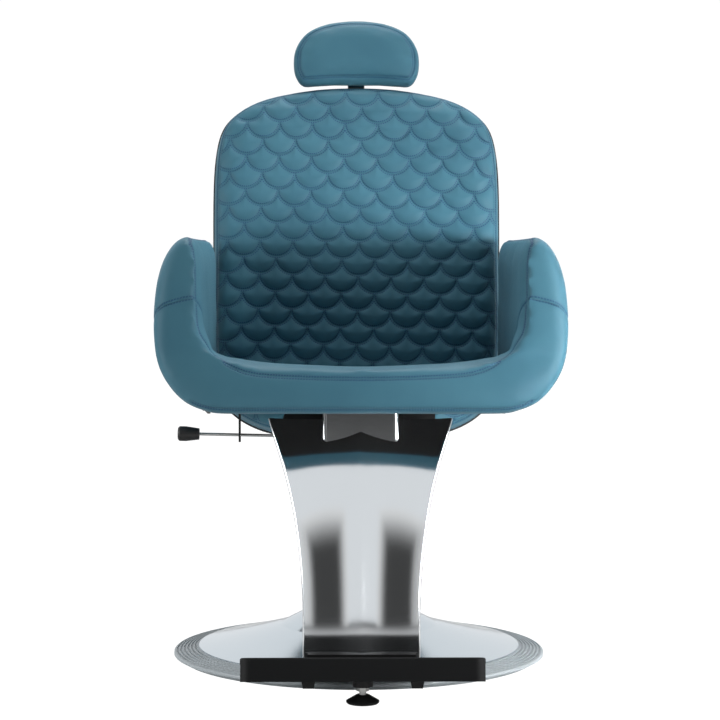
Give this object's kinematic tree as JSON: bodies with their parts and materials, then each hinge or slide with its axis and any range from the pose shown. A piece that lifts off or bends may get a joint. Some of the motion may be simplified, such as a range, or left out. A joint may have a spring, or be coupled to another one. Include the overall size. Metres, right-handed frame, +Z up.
{
  "type": "threading chair",
  "caption": "Padded salon chair with scale-quilted reclining back, headrest, wrap-round arms, curved metal leg plate with footrest, and a round pump base.",
  "frame": {"origin": "on the floor, on the swivel axis", "axes": "+X across the chair to the right in the picture, +Y to the rear, +Z up"},
  "size_m": [0.632, 0.8355, 1.0855],
  "materials": {
    "teal_leather": "soft satin, fine grain",
    "plywood": "sawn",
    "painted_steel": "black powder coat",
    "zinc_steel": "zinc plated",
    "ring_rubber": "grey, grooved",
    "black_rubber": "matt, ribbed",
    "trim_rubber": "matt welt",
    "base_iron": "rough cast",
    "base_chrome": "mirror, spun",
    "ram_chrome": "hard chrome",
    "polished_plate": "polished",
    "foot_casting": "as cast",
    "brass": "turned",
    "black_plastic": "fine matt"
  },
  "bodies": {
    "base": {"base_ring": "ring_rubber", "base_plate": "base_iron", "base_cover": "base_chrome", "pump_flange": "painted_steel", "flange_bolts": "zinc_steel", "pump_body": "painted_steel", "pump_gland": "painted_steel", "pump_skirt": "black_plastic", "pedal_bracket": "painted_steel", "pedal_pin": "zinc_steel"},
    "pedal": {"pedal_arm": "painted_steel", "pedal_pad": "black_rubber"},
    "column": {"pump_ram": "ram_chrome", "thrust_washer": "brass"},
    "seat": {"swivel_hub": "painted_steel", "swivel_bushes": "brass", "mount_plate": "painted_steel", "mount_bolts": "zinc_steel", "seat_frame": "painted_steel", "seat_front_band": "teal_leather", "arm_pad_left": "teal_leather", "arm_pad_right": "teal_leather", "side_panels": "plywood", "front_panel": "plywood", "seat_board": "plywood", "seat_cushion": "teal_leather", "leg_plate": "polished_plate", "leg_bracket": "polished_plate", "plate_mount_block": "painted_steel", "foot_plate": "foot_casting", "foot_tread": "black_rubber", "foot_lock_nut": "zinc_steel", "lever_bracket": "painted_steel", "lever_pin": "zinc_steel", "lever_guide": "painted_steel", "hinge_plates": "painted_steel", "hinge_pins": "zinc_steel", "gas_front_bracket": "painted_steel", "gas_front_pin": "zinc_steel"},
    "levelling_foot": {"foot_screw": "zinc_steel", "foot_pad": "black_rubber"},
    "lever": {"lever_rod": "zinc_steel", "lever_knob": "black_plastic"},
    "gas_spring_cylinder": {"gas_cylinder": "painted_steel"},
    "gas_spring_rod": {"gas_rod": "ram_chrome"},
    "back": {"back_cushion": "teal_leather", "back_board": "plywood", "back_trim": "trim_rubber", "back_shell": "teal_leather", "back_pivot_tube": "zinc_steel", "back_spring_bracket": "painted_steel", "back_spring_pin": "zinc_steel", "headrest_socket": "zinc_steel"},
    "headrest_post": {"headrest_bar": "ram_chrome", "headrest_pin": "zinc_steel"},
    "headrest": {"headrest_cushion": "teal_leather", "headrest_board": "plywood", "headrest_cover": "teal_leather", "headrest_lug": "painted_steel"}
  },
  "joints": [
    {"name": "seat_height", "type": "slide", "parent": "base", "child": "column", "axis": [0, 0, 1], "range_m": [0, 0.15]},
    {"name": "seat_swivel", "type": "hinge", "parent": "column", "child": "seat", "pos_m": [0, 0, 0.38], "axis": [0, 0, 1], "continuous": true},
    {"name": "back_recline", "type": "hinge", "parent": "seat", "child": "back", "pos_m": [0, 0.306, 0.395], "axis": [-1, 0, 0], "range_deg": [0, 35]},
    {"name": "gas_pivot", "type": "hinge", "parent": "seat", "child": "gas_spring_cylinder", "pos_m": [-0.092, -0.08, 0.344], "axis": [1, 0, 0], "range_deg": [0, 5]},
    {"name": "gas_slide", "type": "slide", "parent": "gas_spring_cylinder", "child": "gas_spring_rod", "axis": [0, 0.9957, -0.0932], "range_m": [-0.048, 0]},
    {"name": "lever_lift", "type": "hinge", "parent": "seat", "child": "lever", "pos_m": [-0.066, -0.137, 0.374], "axis": [0, 1, 0], "range_deg": [0, 6], "stiffness_Nm_per_rad": 5, "springref_deg": -2.86},
    {"name": "headrest_height", "type": "slide", "parent": "back", "child": "headrest_post", "axis": [0, 0.1564, 0.9877], "range_m": [0, 0.1]},
    {"name": "headrest_tilt", "type": "hinge", "parent": "headrest_post", "child": "headrest", "pos_m": [0, 0.39837, 1.01944], "axis": [-1, 0, 0], "range_deg": [0, 25]},
    {"name": "pump_pedal", "type": "hinge", "parent": "base", "child": "pedal", "pos_m": [0, 0.062, 0.116], "axis": [-1, 0, 0], "range_deg": [0, 12], "stiffness_Nm_per_rad": 8, "springref_deg": -11.46},
    {"name": "foot_adjust", "type": "slide", "parent": "seat", "child": "levelling_foot", "axis": [0, 0, 1], "range_m": [0, 0.005]}
  ],
  "couplings": [
    {"joint": "gas_pivot", "follows": "back_recline", "ratio": 0.13414},
    {"joint": "gas_slide", "follows": "back_recline", "m_per_rad": -0.075428}
  ]
}
